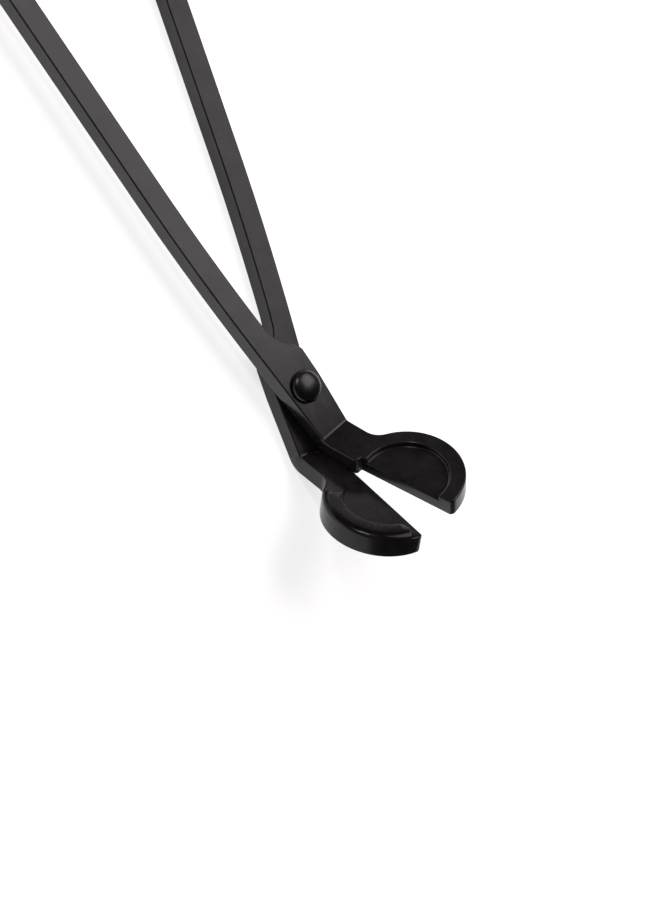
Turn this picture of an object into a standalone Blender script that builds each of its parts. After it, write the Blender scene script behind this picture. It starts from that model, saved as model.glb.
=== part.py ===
"""A wick trimmer: two bent steel levers that cross on one domed rivet.

Each lever is cut flat as a blank, then its head is bent up. The front lever ends in a
half disc with a shallow hollow, the back lever in a half disc that is also the debris
tray. The blanks share one outline, which the back lever takes mirrored.

Frame: the pivot axis is Z, the rest plane is z = 0 under the back lever, and +X runs from
the pivot towards the head, halfway between the two opened levers.
"""

import math

import bmesh
import bpy
from mathutils import Matrix, Vector

MM = 0.001

# Driving dimensions in millimetres, unless a name says degrees.
BAR_WIDTH = 4.95
BAR_THICK = 3.95
LAP_GAP = 0.15
HALF_OPENING_DEG = 8.9

BEND_DEG = 48.3
BEND_INNER_RADIUS = 0.9
FRONT_BEND_X = 12.55
BACK_BEND_X = 13.05
BEND_STEPS = 8

HANDLE_START = Vector((0.0, -1.75))
HANDLE_PULL_1 = Vector((-18.0, -3.05))
HANDLE_PULL_2 = Vector((-32.0, -4.0))
HANDLE_STRAIGHT = Vector((-50.0, -4.0))
BOW_CENTRE_X = -126.0
BOW_HOLE_LENGTH = 31.0
BOW_HOLE_WIDTH = 20.4
BOW_STEPS = 56

BOSS_SIDE_Y = 4.6
FLARE_CENTRE = Vector((-14.9, 7.9))
FLARE_RADIUS = 8.1
FLARE_ARC_DEG = (-32, -88)
FLARE_CORNER = Vector((-6.0, 3.1))
FLARE_CORNER_RADIUS = 1.5
FLARE_CORNER_ARC_DEG = (95, 150)

ARM_SIDE_Y = 3.7
ARM_EDGE_Y = -3.6
ARM_EDGE_END_Y = -4.05
ARM_EDGE_START_U = -1.0
ARM_EDGE_END_U = 4.0
ARM_ROOT_STEP = 0.2
NECK_RADIUS = 4.0
FRONT_DISC_U = 20.5
BACK_DISC_U = 19.95
DISC_V = -0.95
DISC_RADIUS = 12.0
FRONT_CUT_START_U = 10.6
BACK_CUT_START_U = 8.4
CUT_ROOT_U = 10.4
CUT_ROOT_V = -2.5
CUT_SLOPE = 0.047
CUT_CORNER = 0.4
TIP_BLUNT_DEG = 3.5

RECESS_RADIUS = 8.75
RECESS_DEPTH = 1.15
RIM_HEIGHT = 1.15
RIM_INNER_RADIUS = 7.95
RIM_START_DEG = 145.5
RIM_END_DEG = 20.0
RIM_TOP_RADIUS = 10.4
RIM_SHOULDER_WIDTH = 1.7
RIM_SHOULDER_FOOT = 0.1
SHOULDER_STEPS = 5

RIVET_HEAD_RADIUS = 3.35
RIVET_HEAD_HEIGHT = 1.95
RIVET_HEAD_SIDE = 0.35
DOME_STEPS = 8
RIVET_SHANK_RADIUS = 1.8
RIVET_TAIL_RADIUS = 2.9
RIVET_TAIL_DEPTH = 1.3
HOLE_RADIUS = 2.1
SINK_GAP = 0.3

OVERLAP = 2.0


def clear_scene():
    """Starts from an empty file, so that a second run gives the same object."""
    for item in list(bpy.data.objects):
        bpy.data.objects.remove(item, do_unlink=True)


def collection(name):
    found = bpy.data.collections.get(name)
    if found is None:
        found = bpy.data.collections.new(name)
        bpy.context.scene.collection.children.link(found)
    return found


def material(name, colour, roughness, metallic):
    made = bpy.data.materials.new(name)
    made.use_nodes = True
    shader = made.node_tree.nodes["Principled BSDF"]
    shader.inputs["Base Color"].default_value = (*colour, 1.0)
    shader.inputs["Roughness"].default_value = roughness
    shader.inputs["Metallic"].default_value = metallic
    return made


def arc(centre, radius, start_deg, end_deg, steps):
    """Points on a circular arc, both ends included."""
    points = []
    for i in range(steps + 1):
        angle = math.radians(start_deg + (end_deg - start_deg) * i / steps)
        points.append(Vector(centre) + radius * Vector((math.cos(angle), math.sin(angle))))
    return points


def handle_centreline(steps):
    """The bowed part of the handle as one cubic curve, then its straight end."""
    points = []
    for i in range(steps + 1):
        t = i / steps
        points.append(
            (1 - t) ** 3 * HANDLE_START
            + 3 * (1 - t) ** 2 * t * HANDLE_PULL_1
            + 3 * (1 - t) * t ** 2 * HANDLE_PULL_2
            + t ** 3 * HANDLE_STRAIGHT
        )
    return points


def handle_edge(side, steps=16):
    """The handle's centreline moved sideways by half the bar's width. side is +1 or -1."""
    line = handle_centreline(steps)
    edge = []
    for i, point in enumerate(line):
        before = line[max(i - 1, 0)]
        after = line[min(i + 1, steps)]
        along = (before - after).normalized()
        edge.append(point + side * BAR_WIDTH / 2 * Vector((-along.y, along.x)))
    return edge


def cut_face_radius(cut_face):
    """The bend's radius on the face that slides: the front bar's under side, at height 0,
    and the back bar's top face, at the bar's thickness."""
    return BAR_THICK + BEND_INNER_RADIUS - cut_face


def bend_start(bend_x, cut_face):
    """Where the flat bar ends, so that the sliding face turns up at bend_x."""
    return bend_x - cut_face_radius(cut_face) * math.tan(math.radians(BEND_DEG) / 2)


def head_shift(bend_x, cut_face):
    """What to add to a distance past the bend to get its x on the flat blank."""
    setback = cut_face_radius(cut_face) * math.tan(math.radians(BEND_DEG) / 2)
    return bend_start(bend_x, cut_face) + bend_length() - setback


def bend_length():
    """The blank's length that goes into the bend, measured at half its thickness."""
    return math.radians(BEND_DEG) * (BAR_THICK / 2 + BEND_INNER_RADIUS)


def bow_half_sizes():
    return BOW_HOLE_LENGTH / 2 + BAR_WIDTH, BOW_HOLE_WIDTH / 2 + BAR_WIDTH


def bow_centre():
    """The bow hangs outwards from the handle's inner edge."""
    inner_edge = HANDLE_STRAIGHT.y + BAR_WIDTH / 2
    return Vector((BOW_CENTRE_X, inner_edge - bow_half_sizes()[1]))


def bow_outline():
    """The bow's outside, from the handle's inner edge round the back to its outer edge."""
    half_length, half_width = bow_half_sizes()
    centre = bow_centre()
    outer_edge = HANDLE_STRAIGHT.y - BAR_WIDTH / 2
    join = math.asin((outer_edge - centre.y) / half_width)
    points = []
    for i in range(BOW_STEPS + 1):
        angle = math.pi / 2 + (1.5 * math.pi + join) * i / BOW_STEPS
        points.append(centre + Vector((half_length * math.cos(angle), half_width * math.sin(angle))))
    return points


def bow_hole():
    centre = bow_centre()
    points = []
    for i in range(BOW_STEPS):
        angle = 2 * math.pi * i / BOW_STEPS
        x = BOW_HOLE_LENGTH / 2 * math.cos(angle)
        y = BOW_HOLE_WIDTH / 2 * math.sin(angle)
        points.append(centre + Vector((x, y)))
    return points


def cut_v(u):
    """The cutting edge's place across the arm, at a distance past the bend."""
    return CUT_ROOT_V + CUT_SLOPE * (u - CUT_ROOT_U)


def head_outline(shift, disc_u, cut_start):
    """Arm, cutting edge, half disc and neck, from the arm's lower edge to its upper one."""
    centre = Vector((disc_u, DISC_V))
    tip_deg = math.degrees(math.asin((cut_v(disc_u + DISC_RADIUS) - DISC_V) / DISC_RADIUS))
    blunt_deg = tip_deg + TIP_BLUNT_DEG
    blunt_u = disc_u + DISC_RADIUS * math.cos(math.radians(blunt_deg)) - CUT_CORNER
    neck_y = ARM_SIDE_Y + NECK_RADIUS
    neck_x = disc_u - math.sqrt((DISC_RADIUS + NECK_RADIUS) ** 2 - (neck_y - DISC_V) ** 2)
    neck_deg = math.degrees(math.atan2(neck_y - DISC_V, neck_x - disc_u))
    points = [Vector((ARM_EDGE_START_U, ARM_EDGE_Y)), Vector((ARM_EDGE_END_U, ARM_EDGE_END_Y))]
    points.append(Vector((cut_start - CUT_CORNER, ARM_EDGE_END_Y)))
    points.append(Vector((cut_start, ARM_EDGE_END_Y + CUT_CORNER)))
    points.append(Vector((cut_start, cut_v(cut_start))))
    points.append(Vector((blunt_u, cut_v(blunt_u))))
    points += arc(centre, DISC_RADIUS, blunt_deg, neck_deg, 40)
    points += arc((neck_x, neck_y), NECK_RADIUS, neck_deg - 180, -90, 8)[1:]
    points.append(Vector((0.0, ARM_SIDE_Y + ARM_ROOT_STEP)))
    return [point + Vector((shift, 0)) for point in points]


def blank_outline(shift, disc_u, cut_start):
    """The whole flat outline of a lever, once round."""
    points = list(reversed(handle_edge(-1)))
    points += head_outline(shift, disc_u, cut_start)
    points.append(Vector((0.0, BOSS_SIDE_Y)))
    points += arc(FLARE_CORNER, FLARE_CORNER_RADIUS, *FLARE_CORNER_ARC_DEG, 4)
    points += arc(FLARE_CENTRE, FLARE_RADIUS, *FLARE_ARC_DEG, 10)
    points += [p for p in handle_edge(1) if p.x < FLARE_CENTRE.x - 1.0]
    points += bow_outline()
    return points


def flat_plate(name, outlines, low, high, target):
    """A flat outline with holes, as a filled 2D curve with thickness, made a mesh."""
    curve = bpy.data.curves.new(name, "CURVE")
    curve.dimensions = "2D"
    curve.fill_mode = "BOTH"
    curve.extrude = (high - low) / 2 * MM
    for outline in outlines:
        spline = curve.splines.new("POLY")
        spline.points.add(len(outline) - 1)
        for point, place in zip(spline.points, outline):
            point.co = (place[0] * MM, place[1] * MM, 0.0, 1.0)
        spline.use_cyclic_u = True
    holder = bpy.data.objects.new(name + "_curve", curve)
    target.objects.link(holder)
    bpy.context.view_layer.update()
    evaluated = holder.evaluated_get(bpy.context.evaluated_depsgraph_get())
    mesh = bpy.data.meshes.new_from_object(evaluated)
    mesh.transform(Matrix.Translation((0, 0, (low + high) / 2 * MM)))
    bpy.data.objects.remove(holder, do_unlink=True)
    weld(mesh)
    made = bpy.data.objects.new(name, mesh)
    target.objects.link(made)
    return made


def weld(mesh):
    """Joins the caps to the walls and turns every face outwards."""
    bm = bmesh.new()
    bm.from_mesh(mesh)
    bmesh.ops.remove_doubles(bm, verts=bm.verts, dist=1e-6)
    bmesh.ops.recalc_face_normals(bm, faces=bm.faces)
    bm.to_mesh(mesh)
    bm.free()


def turned(name, profile, target, steps=40):
    """A turned piece: a profile of (radius, height) pairs, screwed once round Z."""
    mesh = bpy.data.meshes.new(name + "_profile")
    line = [(radius * MM, 0.0, height * MM) for radius, height in profile]
    mesh.from_pydata(line, [(i, i + 1) for i in range(len(line) - 1)], [])
    made = bpy.data.objects.new(name, mesh)
    target.objects.link(made)
    screw = made.modifiers.new("turn", "SCREW")
    screw.axis = "Z"
    screw.angle = 2 * math.pi
    screw.steps = steps
    screw.render_steps = steps
    screw.use_merge_vertices = True
    screw.merge_threshold = 1e-6
    bpy.context.view_layer.update()
    evaluated = made.evaluated_get(bpy.context.evaluated_depsgraph_get())
    whole = bpy.data.meshes.new_from_object(evaluated)
    made.modifiers.clear()
    made.data = whole
    weld(whole)
    return made


def hide_cutter(cutter):
    cutter.hide_render = True
    cutter.display_type = "WIRE"
    cutters = collection("trimmer_cutters")
    if cutter.name not in cutters.objects:
        for holder in list(cutter.users_collection):
            holder.objects.unlink(cutter)
        cutters.objects.link(cutter)


def cut(piece, cutter):
    """Takes the cutter's shape out of a piece's mesh."""
    hide_cutter(cutter)
    modifier = piece.modifiers.new(cutter.name, "BOOLEAN")
    modifier.operation = "DIFFERENCE"
    modifier.solver = "EXACT"
    modifier.object = cutter
    bpy.context.view_layer.update()
    evaluated = piece.evaluated_get(bpy.context.evaluated_depsgraph_get())
    mesh = bpy.data.meshes.new_from_object(evaluated)
    piece.modifiers.clear()
    piece.data = mesh


def rim_keep_outline(shift):
    """The ground plan of the tray's raised rim: a ring sector with a round end each way."""
    centre = Vector((BACK_DISC_U + shift, DISC_V))
    outer = DISC_RADIUS + OVERLAP
    middle = (RIM_INNER_RADIUS + DISC_RADIUS) / 2
    end_radius = (DISC_RADIUS - RIM_INNER_RADIUS) / 2
    start = centre + middle * Vector(
        (math.cos(math.radians(RIM_START_DEG)), math.sin(math.radians(RIM_START_DEG)))
    )
    end = centre + middle * Vector(
        (math.cos(math.radians(RIM_END_DEG)), math.sin(math.radians(RIM_END_DEG)))
    )
    points = arc(centre, RIM_INNER_RADIUS, RIM_END_DEG, RIM_START_DEG, 30)
    points += arc(start, end_radius, RIM_START_DEG + 180, RIM_START_DEG + 270, 6)[1:]
    away = Vector((math.cos(math.radians(RIM_START_DEG)), math.sin(math.radians(RIM_START_DEG))))
    points.append(points[-1] + (end_radius + OVERLAP) * away)
    points += arc(centre, outer + OVERLAP, RIM_START_DEG, RIM_END_DEG, 12)
    away = Vector((math.cos(math.radians(RIM_END_DEG)), math.sin(math.radians(RIM_END_DEG))))
    side = end + end_radius * Vector((away.y, -away.x))
    points.append(side + (end_radius + OVERLAP) * away)
    points += arc(end, end_radius, RIM_END_DEG - 90, RIM_END_DEG - 180, 6)[:-1]
    return points


def floor_cutter(shift, target):
    """Takes the spare thickness off the back blank everywhere but on the rim."""
    around = [(-160.0, -60.0), (60.0, -60.0), (60.0, 60.0), (-160.0, 60.0)]
    outlines = [around, rim_keep_outline(shift)]
    return flat_plate("tray_floor_cutter", outlines, BAR_THICK, BAR_THICK + OVERLAP, target)


def shoulder_cutter(shift, target):
    """Rounds the rim's outer shoulder down towards the tray's wall."""
    top = BAR_THICK + RIM_HEIGHT
    low = BAR_THICK + RIM_SHOULDER_FOOT
    profile = []
    for i in range(SHOULDER_STEPS + 1):
        angle = math.pi / 2 * i / SHOULDER_STEPS
        radius = RIM_TOP_RADIUS + RIM_SHOULDER_WIDTH * math.sin(angle)
        profile.append((radius, low + (top - low) * math.cos(angle)))
    profile += [(DISC_RADIUS + OVERLAP, low), (DISC_RADIUS + OVERLAP, top + OVERLAP)]
    profile += [(RIM_TOP_RADIUS, top + OVERLAP), profile[0]]
    cutter = turned("tray_shoulder_cutter", profile, target, steps=88)
    cutter.data.transform(Matrix.Translation(((BACK_DISC_U + shift) * MM, DISC_V * MM, 0)))
    return cutter


def recess_cutter(shift, target):
    """The front jaw's hollow: the floor behind its cutting edge."""
    top = BAR_THICK + OVERLAP
    outline = arc((FRONT_DISC_U + shift, DISC_V), RECESS_RADIUS, 0, 360, 72)[:-1]
    return flat_plate("recess_cutter", [outline], BAR_THICK - RECESS_DEPTH, top, target)


def bend(mesh, start_x):
    """Bends the head up about an axis along Y, keeping the bar's thickness."""
    beta = math.radians(BEND_DEG)
    outer = (BAR_THICK + BEND_INNER_RADIUS) * MM
    start = start_x * MM
    length = bend_length() * MM
    bm = bmesh.new()
    bm.from_mesh(mesh)
    for i in range(BEND_STEPS + 1):
        bmesh.ops.bisect_plane(
            bm,
            geom=bm.verts[:] + bm.edges[:] + bm.faces[:],
            dist=1e-7,
            plane_co=(start + length * i / BEND_STEPS, 0, 0),
            plane_no=(1, 0, 0),
        )
    for vert in bm.verts:
        past = vert.co.x - start
        if past <= 0:
            continue
        radius = outer - vert.co.z
        angle = beta * min(past / length, 1.0)
        straight = max(past - length, 0.0)
        vert.co.x = start + radius * math.sin(angle) + straight * math.cos(angle)
        vert.co.z = outer - radius * math.cos(angle) + straight * math.sin(angle)
    bm.to_mesh(mesh)
    bm.free()


def tidy(mesh):
    """Welds what the cuts left, and splits any face that the bend could leave unflat."""
    bm = bmesh.new()
    bm.from_mesh(mesh)
    bmesh.ops.remove_doubles(bm, verts=bm.verts, dist=2e-6)
    bmesh.ops.dissolve_degenerate(bm, edges=bm.edges, dist=2e-6)
    bmesh.ops.triangulate(bm, faces=bm.faces)
    bm.to_mesh(mesh)
    bm.free()


def place_lever(lever, side, low):
    """side +1 leaves the blank as drawn, -1 mirrors it. low is the height of its underside."""
    if side < 0:
        lever.data.transform(Matrix.Diagonal((1, -1, 1, 1)))
        lever.data.flip_normals()
    turn = Matrix.Rotation(side * math.radians(HALF_OPENING_DEG), 4, "Z")
    lever.data.transform(turn)
    lever.location = (0, 0, low * MM)


def finish_faces(lever, paint):
    lever.data.materials.append(paint)
    lever.data.shade_smooth()
    lever.data.set_sharp_from_angle(angle=math.radians(30))


def hole_cutter(name, low, high, target):
    """The rivet's hole through one bar."""
    profile = [(0, low - OVERLAP), (HOLE_RADIUS, low - OVERLAP), (HOLE_RADIUS, high + OVERLAP)]
    profile.append((0, high + OVERLAP))
    return turned(name, profile, target)


def countersink_cutter(target):
    """The cone that the rivet's tail is hammered into, under the back bar."""
    radius = RIVET_TAIL_RADIUS + SINK_GAP
    slope = (RIVET_TAIL_RADIUS - RIVET_SHANK_RADIUS) / RIVET_TAIL_DEPTH
    profile = [(0, -OVERLAP), (radius + slope * OVERLAP, -OVERLAP)]
    profile.append((HOLE_RADIUS - 0.1, (radius - HOLE_RADIUS + 0.1) / slope))
    profile.append((0, (radius - HOLE_RADIUS + 0.1) / slope))
    return turned("countersink_cutter", profile, target)


def front_lever(target, paint):
    """Finger bow, bar, bend and the upper half disc with its hollow."""
    shift = head_shift(FRONT_BEND_X, 0)
    outline = blank_outline(shift, FRONT_DISC_U, FRONT_CUT_START_U)
    lever = flat_plate("front_lever", [outline, bow_hole()], 0, BAR_THICK, target)
    cut(lever, recess_cutter(shift, target))
    cut(lever, hole_cutter("front_hole_cutter", 0, BAR_THICK, target))
    bend(lever.data, bend_start(FRONT_BEND_X, 0))
    tidy(lever.data)
    place_lever(lever, 1, BAR_THICK + LAP_GAP)
    finish_faces(lever, paint)
    return lever


def back_lever(target, paint):
    """Finger bow, bar, bend and the lower half disc with its tray rim."""
    shift = head_shift(BACK_BEND_X, BAR_THICK)
    thick = BAR_THICK + RIM_HEIGHT
    outline = blank_outline(shift, BACK_DISC_U, BACK_CUT_START_U)
    lever = flat_plate("back_lever", [outline, bow_hole()], 0, thick, target)
    cut(lever, floor_cutter(shift, target))
    cut(lever, shoulder_cutter(shift, target))
    cut(lever, hole_cutter("back_hole_cutter", 0, BAR_THICK, target))
    cut(lever, countersink_cutter(target))
    bend(lever.data, bend_start(BACK_BEND_X, BAR_THICK))
    tidy(lever.data)
    place_lever(lever, -1, 0)
    finish_faces(lever, paint)
    return lever


def pivot_rivet(target, paint):
    """Domed head on the front bar, shank through both, tail flush under the back bar."""
    seat = 2 * BAR_THICK + LAP_GAP + LAP_GAP
    profile = [(0, 0), (RIVET_TAIL_RADIUS, 0), (RIVET_SHANK_RADIUS, RIVET_TAIL_DEPTH)]
    profile += [(RIVET_SHANK_RADIUS, seat), (RIVET_HEAD_RADIUS, seat)]
    for i in range(DOME_STEPS + 1):
        angle = math.pi / 2 * i / DOME_STEPS
        radius = RIVET_HEAD_RADIUS * math.cos(angle)
        height = RIVET_HEAD_SIDE + (RIVET_HEAD_HEIGHT - RIVET_HEAD_SIDE) * math.sin(angle)
        profile.append((radius, seat + height))
    rivet = turned("pivot_rivet", profile, target)
    finish_faces(rivet, paint)
    return rivet


def main():
    clear_scene()
    parts = collection("wick_trimmer")
    black_steel = material("black_coated_steel", (0.035, 0.032, 0.034), 0.42, 0.6)
    rivet_steel = material("black_rivet_steel", (0.04, 0.037, 0.038), 0.3, 0.7)
    front_lever(parts, black_steel)
    back_lever(parts, black_steel)
    pivot_rivet(parts, rivet_steel)


main()
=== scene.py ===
# %% [markdown]
# # A black wick trimmer
#
# This lesson dresses a finished, working model of a wick trimmer. The model brings three
# solids: a front lever, a back lever and the rivet they turn on. They have the right sizes
# and the right joint, but their edges are knife sharp and their finish is one flat colour.
#
# A real trimmer of this kind is stamped from steel bar, tumbled until its edges are soft,
# bent, riveted and coated matt black. The cells below follow the same order: soften each
# flat blank, bend it, turn the rivet, make the coating, and light it.

import math

import bmesh
import bpy
from mathutils import Matrix, Vector


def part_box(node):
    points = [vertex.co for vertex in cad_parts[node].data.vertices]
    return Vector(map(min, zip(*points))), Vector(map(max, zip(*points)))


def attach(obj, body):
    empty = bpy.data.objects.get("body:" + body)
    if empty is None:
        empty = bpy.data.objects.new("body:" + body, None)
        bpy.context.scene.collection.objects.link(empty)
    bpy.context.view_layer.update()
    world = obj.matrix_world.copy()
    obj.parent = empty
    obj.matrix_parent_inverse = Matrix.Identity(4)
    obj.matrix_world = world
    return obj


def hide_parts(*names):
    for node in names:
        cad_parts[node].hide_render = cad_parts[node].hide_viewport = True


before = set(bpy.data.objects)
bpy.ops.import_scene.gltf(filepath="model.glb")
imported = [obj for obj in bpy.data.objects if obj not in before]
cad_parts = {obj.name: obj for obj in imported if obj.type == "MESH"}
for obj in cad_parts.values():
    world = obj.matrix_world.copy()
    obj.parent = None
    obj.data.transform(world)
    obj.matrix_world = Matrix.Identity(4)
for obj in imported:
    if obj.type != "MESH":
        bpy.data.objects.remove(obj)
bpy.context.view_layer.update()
MM = 0.001
print("nodes:", sorted(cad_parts))

# %% [markdown]
# ## Sizes
#
# A lever is a flat bar whose head is bent up. To soften its edges evenly it is easiest to
# work on the flat blank, before the bend, which is also how a press shop does it. So these
# few numbers say where the bend is and how tight, how far the two levers are opened, and
# where the middle of the finger bow is. The heights come from the model itself.

# %% The bend and the opening
BEND = math.radians(48.3)
BEND_INNER_RADIUS = 0.9 * MM
HALF_OPENING = math.radians(8.9)
FRONT_BEND_X = 12.55 * MM
BACK_BEND_X = 13.05 * MM

BAR_THICK = 3.95 * MM
BOW_CENTRE_X = -126.0 * MM

back_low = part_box("back_lever")[0]
front_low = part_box("front_lever")[0]
rivet_low, rivet_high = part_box("pivot_rivet")
BEND_OUTER_RADIUS = BAR_THICK + BEND_INNER_RADIUS
BEND_LENGTH = BEND * (BAR_THICK / 2 + BEND_INNER_RADIUS)
print("bar %.2f mm thick, front bar's under side at %.2f mm" % (BAR_THICK / MM, front_low.z / MM))


# %% [markdown]
# ## From the bent lever back to its blank
#
# The sharp model is already bent. Every point of it can be carried back to the flat blank:
# take out the opening angle, undo the mirror that makes the back lever from the front
# one, then unroll the bend about its centre line. The same rule run forwards bends it again.
# Carrying points is safer than rebuilding the outline, because the soft lever then keeps
# exactly the sizes of the working model.

# %% Unroll and roll up
class Lever:
    """Where one lever sits, and how its blank is carried into place."""

    def __init__(self, side, low, bend_x, cut_face):
        self.side = side
        self.low = low
        setback = (BEND_OUTER_RADIUS - cut_face) * math.tan(BEND / 2)
        self.start = bend_x - setback

    def unroll(self, point):
        """A point of the bent, opened lever on its flat blank."""
        flat = Matrix.Rotation(-self.side * HALF_OPENING, 3, "Z") @ point
        flat.y *= self.side
        across = flat.x - self.start
        above = flat.z - self.low - BEND_OUTER_RADIUS
        along = across * math.cos(BEND) + above * math.sin(BEND)
        if along > 0:
            radius = across * math.sin(BEND) - above * math.cos(BEND)
            flat.x = self.start + BEND_LENGTH + along
        elif across > 0:
            radius = math.hypot(across, above)
            flat.x = self.start + BEND_LENGTH * math.atan2(across, -above) / BEND
        else:
            radius = -above
        flat.z = BEND_OUTER_RADIUS - radius
        return flat

    def roll_up(self, flat):
        """The same point on the bent, opened lever."""
        point = flat.copy()
        past = flat.x - self.start
        if past > 0:
            radius = BEND_OUTER_RADIUS - flat.z
            angle = BEND * min(past / BEND_LENGTH, 1.0)
            along = max(past - BEND_LENGTH, 0.0)
            point.x = self.start + radius * math.sin(angle) + along * math.cos(angle)
            point.z = BEND_OUTER_RADIUS - radius * math.cos(angle) + along * math.sin(angle)
        point.z += self.low
        point.y *= self.side
        return Matrix.Rotation(self.side * HALF_OPENING, 3, "Z") @ point


front = Lever(1, front_low.z, FRONT_BEND_X, 0.0)
back = Lever(-1, back_low.z, BACK_BEND_X, BAR_THICK)
print("bends start at %.2f and %.2f mm" % (front.start / MM, back.start / MM))

# %% [markdown]
# ## Soft edges
#
# Tumbling in a drum of stones takes about a third of a millimetre off every edge, and the
# black coating then wears a little along it. A bevel of three steps gives that edge. It is
# made on the blank, where nearly every edge is a clean right angle. The bevel's own faces
# are marked with an edge value, so that the coating can show them more worn than the flats.
#
# The model's flat faces are many loose triangles, and a bevel wants each flat as one face.
# Joining them would leave a face with a hole in it at the rivet and at the finger bow, and
# Blender can only draw that as a slit face, which a bevel tears. So a cut is first made
# across each hole and kept as a seam, and then no flat tears. Where edges are shorter than
# the bevel is wide, as at the nose of the tray's rim, some very small faces still overlap.

# %% Make a soft lever from a sharp one
EDGE_WIDTH = 0.32 * MM
EDGE_STEPS = 3
SHARP = math.radians(32)
SAME_FLAT = math.radians(0.6)
WELD_GAP = 0.002 * MM
LEAST_EDGE = 0.02 * MM
HOLE_CUT_GAP = 0.001 * MM
BEND_CUT_GAP = 0.0001 * MM
BEND_CUTS = 28
EVEN_WEIGHT = 80


def open_holes(bm):
    """Cuts through the middle of both holes, so that no flat face has a hole in it."""
    for hole_x in (0.0, BOW_CENTRE_X):
        made = bmesh.ops.bisect_plane(
            bm,
            geom=bm.verts[:] + bm.edges[:] + bm.faces[:],
            dist=HOLE_CUT_GAP,
            plane_co=(hole_x, 0, 0),
            plane_no=(1, 0, 0),
        )
        for element in made["geom_cut"]:
            if isinstance(element, bmesh.types.BMEdge):
                element.seam = True


def blank_of(node, lever):
    """A welded flat copy of a lever, with its coplanar triangles joined."""
    bm = bmesh.new()
    bm.from_mesh(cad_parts[node].data)
    bmesh.ops.remove_doubles(bm, verts=bm.verts, dist=WELD_GAP)
    for vert in bm.verts:
        vert.co = lever.unroll(vert.co)
    if lever.side < 0:
        bmesh.ops.reverse_faces(bm, faces=bm.faces)
    open_holes(bm)
    bmesh.ops.dissolve_limit(
        bm, angle_limit=SAME_FLAT, verts=bm.verts, edges=bm.edges, delimit={"SEAM"}
    )
    bmesh.ops.dissolve_degenerate(bm, edges=bm.edges, dist=LEAST_EDGE)
    return bm


def soften(bm):
    """Bevels every sharp edge, and marks the new faces with the edge value."""
    edge_value = bm.verts.layers.float.new("edge")
    sharp = [e for e in bm.edges if e.is_manifold and e.calc_face_angle() > SHARP]
    made = bmesh.ops.bevel(
        bm,
        geom=sharp,
        offset=EDGE_WIDTH,
        offset_type="OFFSET",
        affect="EDGES",
        segments=EDGE_STEPS,
        profile=0.5,
        material=-1,
        clamp_overlap=False,
        loop_slide=False,
    )
    for face in made["faces"]:
        for vert in face.verts:
            vert[edge_value] = 1.0
    return len(sharp)


def cut_across(bm, lever):
    """Rings of cuts over the bend, close enough together to roll up smoothly."""
    for i in range(BEND_CUTS + 1):
        bmesh.ops.bisect_plane(
            bm,
            geom=bm.verts[:] + bm.edges[:] + bm.faces[:],
            dist=BEND_CUT_GAP,
            plane_co=(lever.start + BEND_LENGTH * i / BEND_CUTS, 0, 0),
            plane_no=(1, 0, 0),
        )


def piece_from(bm, name):
    """Turns a finished bmesh into a smooth-shaded object with even normals."""
    bmesh.ops.triangulate(bm, faces=[f for f in bm.faces if len(f.verts) > 4])
    for face in bm.faces:
        face.smooth = True
    mesh = bpy.data.meshes.new(name)
    bm.to_mesh(mesh)
    bm.free()
    piece = bpy.data.objects.new(name, mesh)
    bpy.context.scene.collection.objects.link(piece)
    evened = piece.modifiers.new("even_normals", "WEIGHTED_NORMAL")
    evened.weight = EVEN_WEIGHT
    evened.keep_sharp = False
    print(name, "has", len(mesh.polygons), "faces")
    return piece


def soft_lever(node, lever, name):
    """The whole way from the sharp lever to the soft one."""
    bm = blank_of(node, lever)
    softened = soften(bm)
    cut_across(bm, lever)
    for vert in bm.verts:
        vert.co = lever.roll_up(vert.co)
    if lever.side < 0:
        bmesh.ops.reverse_faces(bm, faces=bm.faces)
    print(node, "has", softened, "sharp edges softened")
    return piece_from(bm, name)


front_piece = soft_lever("front_lever", front, "front_lever_tumbled")
back_piece = soft_lever("back_lever", back, "back_lever_tumbled")

# %% [markdown]
# ## The rivet
#
# The rivet is turned: a profile spun round the pivot axis. Its head is a low dome with a
# short straight side, and its tail fills the cone under the back lever. It is made finer
# than the working model's, because the eye goes straight to its highlight.

# %% Spin the rivet
RIVET_STEPS = 96
DOME_STEPS = 20
LAP_GAP = 0.15 * MM
HEAD_RADIUS = (rivet_high.x - rivet_low.x) / 2
HEAD_SEAT = front_low.z + BAR_THICK + LAP_GAP
HEAD_SIDE = 0.35 * MM
SHANK_RADIUS = 1.8 * MM
TAIL_RADIUS = 2.9 * MM
TAIL_DEPTH = 1.3 * MM
POLE_GAP = 0.001 * MM


def rivet_profile():
    """Radius and height from the middle of the tail up to the top of the dome."""
    profile = [(0.0, rivet_low.z), (TAIL_RADIUS, rivet_low.z), (SHANK_RADIUS, TAIL_DEPTH)]
    profile += [(SHANK_RADIUS, HEAD_SEAT), (HEAD_RADIUS, HEAD_SEAT)]
    rise = rivet_high.z - HEAD_SEAT - HEAD_SIDE
    for i in range(DOME_STEPS + 1):
        angle = math.pi / 2 * i / DOME_STEPS
        height = HEAD_SEAT + HEAD_SIDE + rise * math.sin(angle)
        profile.append((HEAD_RADIUS * math.cos(angle), height))
    return profile


def turned(profile, name):
    """Spins a profile once round the pivot axis and closes it at both poles."""
    bm = bmesh.new()
    verts = [bm.verts.new((radius, 0.0, height)) for radius, height in profile]
    edges = [bm.edges.new(pair) for pair in zip(verts, verts[1:])]
    bmesh.ops.spin(
        bm,
        geom=verts + edges,
        axis=(0, 0, 1),
        cent=(0, 0, 0),
        angle=2 * math.pi,
        steps=RIVET_STEPS,
        use_merge=True,
    )
    bmesh.ops.remove_doubles(bm, verts=bm.verts, dist=POLE_GAP)
    bmesh.ops.recalc_face_normals(bm, faces=bm.faces)
    bm.verts.layers.float.new("edge")
    return piece_from(bm, name)


rivet_piece = turned(rivet_profile(), "pivot_rivet_turned")


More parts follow.
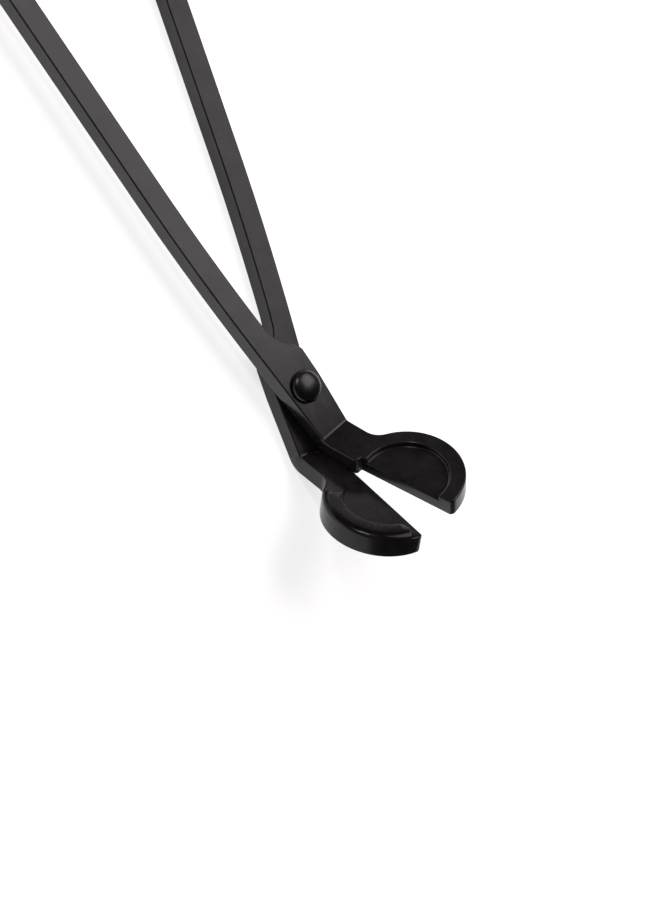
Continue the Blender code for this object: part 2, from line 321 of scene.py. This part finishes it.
# %% [markdown]
# ## Shader maths
#
# A material is a set of small sums on patterns. Written as nodes by hand they fill pages,
# so a socket is wrapped in a class that knows how to add, subtract and multiply. Then
# 0.4 + 0.1 * grain is one line, and each operator leaves one Math node behind.

# %% A socket that does arithmetic
class Wire:
    """One value in a node tree, with Python's arithmetic."""

    def __init__(self, tree, socket):
        self.tree = tree
        self.socket = socket

    def node(self, kind, settings=None, **inputs):
        """Adds a node, sets it up, feeds its inputs by name and gives its first output."""
        made = self.tree.nodes.new(kind)
        for name, value in (settings or {}).items():
            if name == "stops":
                set_stops(made.color_ramp, value)
            else:
                setattr(made, name, value)
        for name, value in inputs.items():
            feed(self.tree, find_socket(made.inputs, name), value)
        outputs = [s for s in made.outputs if s.enabled]
        return Wire(self.tree, outputs[0])

    def output(self, name):
        """Another output of the node that this wire comes from."""
        return Wire(self.tree, self.socket.node.outputs[name])

    def maths(self, operation, first, second):
        """One Math node on two values."""
        made = self.tree.nodes.new("ShaderNodeMath")
        made.operation = operation
        feed(self.tree, made.inputs[0], first)
        feed(self.tree, made.inputs[1], second)
        return Wire(self.tree, made.outputs[0])

    def __add__(self, other):
        return self.maths("ADD", self, other)

    def __radd__(self, other):
        return self.maths("ADD", other, self)

    def __sub__(self, other):
        return self.maths("SUBTRACT", self, other)

    def __rsub__(self, other):
        return self.maths("SUBTRACT", other, self)

    def __mul__(self, other):
        return self.maths("MULTIPLY", self, other)

    def __rmul__(self, other):
        return self.maths("MULTIPLY", other, self)


def set_stops(ramp, stops):
    """Puts a ramp's stops at their places, each a grey value."""
    while len(ramp.elements) < len(stops):
        ramp.elements.new(0.5)
    for element, (place, grey) in zip(ramp.elements, stops):
        element.position = place
        element.color = (grey, grey, grey, 1.0)


def feed(tree, socket, value):
    """Links a wire to a socket, or sets the socket's number or colour."""
    if isinstance(value, Wire):
        tree.links.new(value.socket, socket)
    else:
        socket.default_value = value


def find_socket(sockets, name):
    """The enabled socket whose name, in lower case with underscores, is this one."""
    for socket in sockets:
        if socket.enabled and socket.name.lower().replace(" ", "_") == name:
            return socket
    raise KeyError(name)


print("shader maths ready")

# %% [markdown]
# ## The black coating
#
# The steel is black all through its finish: a thin baked coat, very dark and slightly
# warm, that shows light mostly by its sheen. Three things keep it from looking like
# plastic. Fine grain breaks up the sheen, faint draw marks run the long way, and the
# softened edges are a touch smoother and greyer where they rub.
#
# All patterns read Object coordinates, in metres, so a noise scale of 2600 has grains of
# about 0.4 mm. The draw marks are a noise stretched along X, which both bars follow within
# nine degrees. Each piece turns that noise by its own angle, so no two have the same marks.

# %% Coated steel
COAT_DARK = (0.0030, 0.0024, 0.0026, 1.0)
COAT_LIGHT = (0.0058, 0.0047, 0.0050, 1.0)
COAT_RUBBED = (0.040, 0.036, 0.037, 1.0)
GRAIN_SCALE = 2600.0
MOTTLE_SCALE = 210.0
DRAW_SCALE = 1500.0
DRAW_STRETCH = (0.06, 1.0, 1.0)
PATCH_STOPS = [(0.36, 0.0), (0.68, 1.0)]
BROKEN_STOPS = [(0.30, 0.25), (0.72, 1.0)]
EDGE_GREY = 0.55
EDGE_POLISH = 0.07
BAR_SHEEN = 0.23
BAR_GRAIN = 0.003 * MM
RIVET_SHEEN = 0.31
RIVET_GRAIN = 0.010 * MM


def new_material(name):
    """An empty material with one Principled shader, as (material, shader, first wire)."""
    material = bpy.data.materials.new(name)
    material.use_nodes = True
    tree = material.node_tree
    shader = tree.nodes["Principled BSDF"]
    place = tree.nodes.new("ShaderNodeTexCoord")
    return material, shader, Wire(tree, place.outputs["Object"])


def mix_colour(wire, factor, first, second):
    """One colour fading into another."""
    tree = wire.tree
    made = tree.nodes.new("ShaderNodeMix")
    made.data_type = "RGBA"
    feed(tree, made.inputs[0], factor)
    feed(tree, made.inputs[6], first)
    feed(tree, made.inputs[7], second)
    return Wire(tree, made.outputs[2])


def noise(place, scale, detail=2.0, roughness=0.5):
    """A cloudy pattern between 0 and 1."""
    return place.node(
        "ShaderNodeTexNoise", None, vector=place, scale=scale, detail=detail, roughness=roughness
    )


def coated_steel(name, noise_turn, roughness, grain_height, mirror):
    """The coating, with the noise for its draw marks turned by noise_turn about Z."""
    material, shader, place = new_material(name)
    tree = place.tree
    along = place.node(
        "ShaderNodeMapping",
        {"vector_type": "POINT"},
        vector=place,
        rotation=(0.0, 0.0, -noise_turn),
        scale=DRAW_STRETCH,
    )
    grain = noise(place, GRAIN_SCALE, 3.0, 0.6)
    mottle = noise(place, MOTTLE_SCALE, 4.0, 0.62)
    draw = noise(along, DRAW_SCALE, 3.0, 0.6)
    patch = mottle.node("ShaderNodeValToRGB", {"stops": PATCH_STOPS}, fac=mottle)
    broken = mottle.node("ShaderNodeValToRGB", {"stops": BROKEN_STOPS}, fac=mottle)
    edge = place.node("ShaderNodeAttribute", {"attribute_name": "edge"}).output("Fac")
    worn = edge * broken
    colour = mix_colour(place, patch, COAT_DARK, COAT_LIGHT)
    colour = mix_colour(place, worn * EDGE_GREY, colour, COAT_RUBBED)
    feed(tree, shader.inputs["Base Color"], colour)
    sheen = roughness + 0.05 * (mottle - 0.5) + 0.08 * (draw - 0.5) - EDGE_POLISH * worn
    feed(tree, shader.inputs["Roughness"], sheen)
    surface = grain * 0.6 + draw * 0.25 + mottle * 0.2
    bump = place.node(
        "ShaderNodeBump", None, strength=1.0, distance=grain_height, height=surface
    )
    feed(tree, shader.inputs["Normal"], bump)
    shader.inputs["Specular IOR Level"].default_value = mirror
    return material


front_coat = coated_steel("front_black_coat", HALF_OPENING, BAR_SHEEN, BAR_GRAIN, 0.32)
back_coat = coated_steel("back_black_coat", -HALF_OPENING, BAR_SHEEN, BAR_GRAIN, 0.24)
rivet_coat = coated_steel("rivet_black_coat", 0.0, RIVET_SHEEN, RIVET_GRAIN, 0.50)
for piece, coat in ((front_piece, front_coat), (back_piece, back_coat), (rivet_piece, rivet_coat)):
    piece.data.materials.append(coat)
print("coats:", front_coat.name, back_coat.name, rivet_coat.name)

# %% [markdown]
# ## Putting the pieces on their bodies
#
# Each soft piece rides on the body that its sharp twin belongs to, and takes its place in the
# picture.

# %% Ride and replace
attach(front_piece, "front")
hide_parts("front_lever")
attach(back_piece, "back")
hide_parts("back_lever")
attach(rivet_piece, "back")
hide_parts("pivot_rivet")
print("three pieces ride on two bodies")

# %% [markdown]
# ## Studio
#
# The tool lies on a pale sheet. Black steel shows almost no colour of its own, so what the
# lights look like in it matters more than how much light falls on it. A wide soft box
# stands over the far side, where the flat tops of the bars mirror it to the camera. A
# small one over the handles puts the spark on the rivet's dome. The rest of the room is
# dim. The sheet carries painted light: in the steel it glows as a pool near the tool and is
# dim further out, which leaves the upturned blades almost black. The camera itself sees
# the sheet and the wall evenly pale.

# %% Floor
FLOOR_RADIUS = 0.75
FLOOR_DROP = 0.2 * MM
LIT_RADIUS = 0.45
LIT_STOPS = [(0.20, 0.12), (0.55, 1.0)]
SHEET_GLOW = 0.75


def pale_paper():
    """Paper that glows as painted light: evenly to the camera, and to mirrors and the tool only as
    a pool near the tool.
    """
    material, shader, place = new_material("pale_paper")
    tree = place.tree
    spread = place.node("ShaderNodeMapping", None, vector=place, scale=(1 / LIT_RADIUS,) * 3)
    pool = spread.node("ShaderNodeTexGradient", {"gradient_type": "SPHERICAL"}, vector=spread)
    # painted light: a pool of glow on the sheet, bright round the tool and dim further out
    lit = pool.node("ShaderNodeValToRGB", {"stops": LIT_STOPS}, fac=pool.output("Fac"))
    seen = Wire(tree, tree.nodes.new("ShaderNodeLightPath").outputs["Is Camera Ray"])
    shader.inputs["Base Color"].default_value = (0.86, 0.86, 0.86, 1.0)
    # the sheet glows evenly to the camera, and as that painted pool of light to everything else
    feed(tree, shader.inputs["Emission Color"], seen.maths("MAXIMUM", seen, lit))
    shader.inputs["Emission Strength"].default_value = SHEET_GLOW
    feed(tree, shader.inputs["Roughness"], 0.85 + 0.1 * noise(place, 900.0))
    return material


def pale_floor():
    """A round sheet just under the back lever."""
    bm = bmesh.new()
    bmesh.ops.create_circle(bm, cap_ends=True, segments=96, radius=FLOOR_RADIUS)
    bmesh.ops.translate(bm, verts=bm.verts, vec=(0, 0, back_low.z - FLOOR_DROP))
    mesh = bpy.data.meshes.new("floor")
    bm.to_mesh(mesh)
    bm.free()
    floor = bpy.data.objects.new("floor", mesh)
    bpy.context.scene.collection.objects.link(floor)
    mesh.materials.append(pale_paper())
    return floor


floor = pale_floor()
print("floor is %.1f m across" % (2 * FLOOR_RADIUS))


# %% Lights
WARM_WHITE = (1.0, 0.92, 0.94)


def soft_box(name, direction, distance, size, power, target):
    """A square area light that faces the target from a direction, unseen by the camera."""
    light = bpy.data.lights.new(name, "AREA")
    light.size = size
    light.energy = power
    light.color = WARM_WHITE
    lamp = bpy.data.objects.new(name, light)
    towards = Vector(direction).normalized()
    lamp.location = Vector(target) + towards * distance
    lamp.rotation_mode = "QUATERNION"
    lamp.rotation_quaternion = towards.to_track_quat("Z", "Y")
    lamp.visible_camera = False
    bpy.context.scene.collection.objects.link(lamp)


soft_box(
    "bar_box",
    direction=(-0.08, 0.54, 0.83),
    distance=0.5,
    size=0.40,
    power=1.5,
    target=(-0.099, -0.01, 0.0),
)
soft_box(
    "spark_box",
    direction=(-0.72, -0.28, 0.65),
    distance=0.9,
    size=0.14,
    power=1.5,
    target=(0.0, 0.0, 0.0),
)

PALE_WALL = 0.90
DIM_ROOM = 0.03
world = bpy.data.worlds.new("dim_room")
world.use_nodes = True
room = world.node_tree.nodes["Background"]
room.inputs["Color"].default_value = (1.0, 0.98, 0.98, 1.0)
rays = world.node_tree.nodes.new("ShaderNodeLightPath")
strength = Wire(world.node_tree, rays.outputs["Is Camera Ray"]) * (PALE_WALL - DIM_ROOM) + DIM_ROOM
feed(world.node_tree, room.inputs["Strength"], strength)
bpy.context.scene.world = world
bpy.context.scene.view_settings.view_transform = "Standard"

# %% [markdown]
# ## Camera
#
# The tool is looked at from above and from one side, with the head low in the picture and
# the handles running out of its top edge. The camera is placed by the direction it looks
# from, its roll, and the point it looks at.

# %% Camera
CAMERA_AZIMUTH = math.radians(-14.66)
CAMERA_ELEVATION = math.radians(55.79)
CAMERA_ROLL = math.radians(75.73)
CAMERA_DISTANCE = 0.5206
CAMERA_LENS = 103.2
AIM = Vector((0.0142, 0.0012, 0.0040))


def studio_camera():
    """A long lens, aimed a little past the rivet and rolled so that the head hangs down."""
    data = bpy.data.cameras.new("camera")
    data.lens = CAMERA_LENS
    data.sensor_width = 36.0
    data.clip_start = 0.01
    data.clip_end = 20.0
    camera = bpy.data.objects.new("camera", data)
    flat = math.cos(CAMERA_ELEVATION)
    back_way = Vector((
        math.sin(CAMERA_AZIMUTH) * flat,
        -math.cos(CAMERA_AZIMUTH) * flat,
        math.sin(CAMERA_ELEVATION),
    ))
    turn = back_way.to_track_quat("Z", "Y").to_matrix().to_4x4()
    roll = Matrix.Rotation(CAMERA_ROLL, 4, "Z")
    camera.matrix_world = Matrix.Translation(AIM + back_way * CAMERA_DISTANCE) @ turn @ roll
    bpy.context.scene.collection.objects.link(camera)
    bpy.context.scene.camera = camera
    return camera


camera = studio_camera()
print("camera is %.3f m from the aim point" % CAMERA_DISTANCE)
